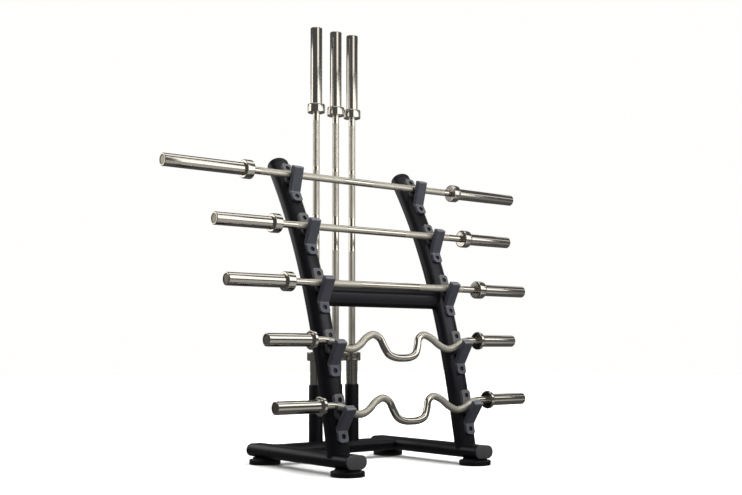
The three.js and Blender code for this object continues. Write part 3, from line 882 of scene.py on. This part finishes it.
view = {"place": (-2.8211, -3.5458, 0.4797), "tilt": 91.758, "turn": -38.604, "lens": 53.1, "sensor": 36,
        "shift": 0.09, "reach": 60}
camera = bpy.data.objects.new("camera", bpy.data.cameras.new("camera"))
bpy.context.collection.objects.link(camera)
camera.location = view["place"]
camera.rotation_euler = (math.radians(view["tilt"]), 0, math.radians(view["turn"]))
camera.data.sensor_width = view["sensor"]
camera.data.lens = view["lens"]
camera.data.shift_y = view["shift"]
camera.data.clip_end = view["reach"]
bpy.context.scene.camera = camera
print("camera placed")

warm = (1, 0.97, 0.91)
panels = {
    "frontPanel": {"place": (0.75, -1.2, 1.43), "aim": (0, 1, 0), "size": (2.2, 1.1), "glow": 1.7,
                   "tint": (1, 0.985, 0.95)},
    "frontHighPanel": {"place": (-0.1, -1.22, 2.35), "aim": (0, 1, 0), "size": (0.9, 0.6), "glow": 1.2},
    "sidePanel": {"place": (2.6, -1.2, 2.0), "aim": (0, 1, 0), "size": (2.1, 0.45), "glow": 0.95},
    "topPanel": {"place": (0.4, -0.05, 3.0), "aim": (0, 0, -1), "size": (3.2, 1.1), "glow": 1.2,
                 "onMatt": True},
    "leftPanel": {"place": (-2.0, 1.65, 1.78), "aim": (1, -0.6, 0), "size": (1.5, 1.6), "glow": 1.6},
    "rearPanel": {"place": (-0.6, 2.6, 1.5), "aim": (0, -1, 0), "size": (1.8, 1.3), "glow": 0.9},
    "rightPanel": {"place": (2.5, 1.1, 1.7), "aim": (-1, 0, 0), "size": (1.4, 1.8), "glow": 0.6},
    "floorGlow": {"place": (0.55, -2.3, 0.002), "aim": (0, 0, 1), "size": (2.6, 3.3), "glow": 0.38},
    "farFloorGlow": {"place": (3.6, -2.3, 0.002), "aim": (0, 0, 1), "size": (3.2, 3.3), "glow": 0.13},
}


# a soft panel: its glow is the brightness its reflection shows; aim is the way it faces
def softPanel(name, place, aim, size, glow, tint=warm, onMatt=False):
    light = bpy.data.lights.new(name, "AREA")
    light.shape = "RECTANGLE"
    light.size, light.size_y = size
    light.energy = glow * math.pi * size[0] * size[1]
    light.color = tint
    lamp = bpy.data.objects.new(name, light)
    bpy.context.collection.objects.link(lamp)
    lamp.location = place
    lamp.rotation_euler = Vector(aim).to_track_quat("-Z", "Y").to_euler()
    lamp.visible_camera = False
    lamp.visible_diffuse = onMatt


for name, values in panels.items():
    softPanel(name, **values)

# white to the eye, nearly dark in reflections, and a one-sided soft light from the front and right
studioLight = {"turn": (0.85, -0.527), "softFrom": -0.1, "softTo": 0.8, "away": 0.26, "highFrom": 0.15,
               "highTo": 0.8, "low": 0.03, "glow": 6.2, "mirrored": 0.09, "tint": (1, 0.995, 0.985)}
sky = bpy.data.worlds.new("studio")
bpy.context.scene.world = sky
sky.use_nodes = True
sky.cycles.sampling_method = "NONE"
studio = Graph(sky.node_tree)


def softStep(value, start, end, least):
    sockets = {"Value": value, "From Min": start, "From Max": end, "To Min": least, "To Max": 1.0}
    return studio.add("ShaderNodeMapRange", {"interpolation_type": "SMOOTHSTEP"}, sockets)


seen = studio.add("ShaderNodeLightPath")
mirrored = studio.add("ShaderNodeLightPath", output=3)
way = studio.add("ShaderNodeTexCoord")
facing = studio.split(way) * studioLight["turn"][0] + studio.split(way, 1) * studioLight["turn"][1]
soft = softStep(facing, studioLight["softFrom"], studioLight["softTo"], studioLight["away"])
above = softStep(studio.split(way, 2), studioLight["highFrom"], studioLight["highTo"], studioLight["low"])
brightness = seen + mirrored * studioLight["mirrored"]
brightness = brightness + (1 - seen - mirrored) * soft * above * studioLight["glow"]
backdrop = studio.add("ShaderNodeBackground", {}, {"Color": studioLight["tint"], "Strength": brightness})
studio.add("ShaderNodeOutputWorld", {}, {"Surface": backdrop})
print("lights placed")

paleFloor = {"half": 14, "under": 0.0005, "dark": (0.9, 0.9, 0.9), "light": (0.94, 0.94, 0.94),
             "cloudScale": 1.3, "gloss": 0.75, "cloudGloss": 0.1}
finish = Finish("paleFloor", Metallic=0.0)
clouds = finish.noise(finish.place(), paleFloor["cloudScale"], 3.0)
finish.set(Base_Color=finish.ramp(clouds, [(0.3, paleFloor["dark"]), (0.7, paleFloor["light"])]))
finish.set(Roughness=paleFloor["gloss"] + clouds * paleFloor["cloudGloss"])
bm = bmesh.new()
bmesh.ops.create_grid(bm, x_segments=1, y_segments=1, size=paleFloor["half"])
floor = toObject("floor", bm)
floor.data.materials.append(finish.material)
floor.location = (0, 0, -paleFloor["under"])
floor.visible_glossy = False
floor.visible_diffuse = False
bpy.context.scene.view_settings.view_transform = "Standard"
print("floor laid")
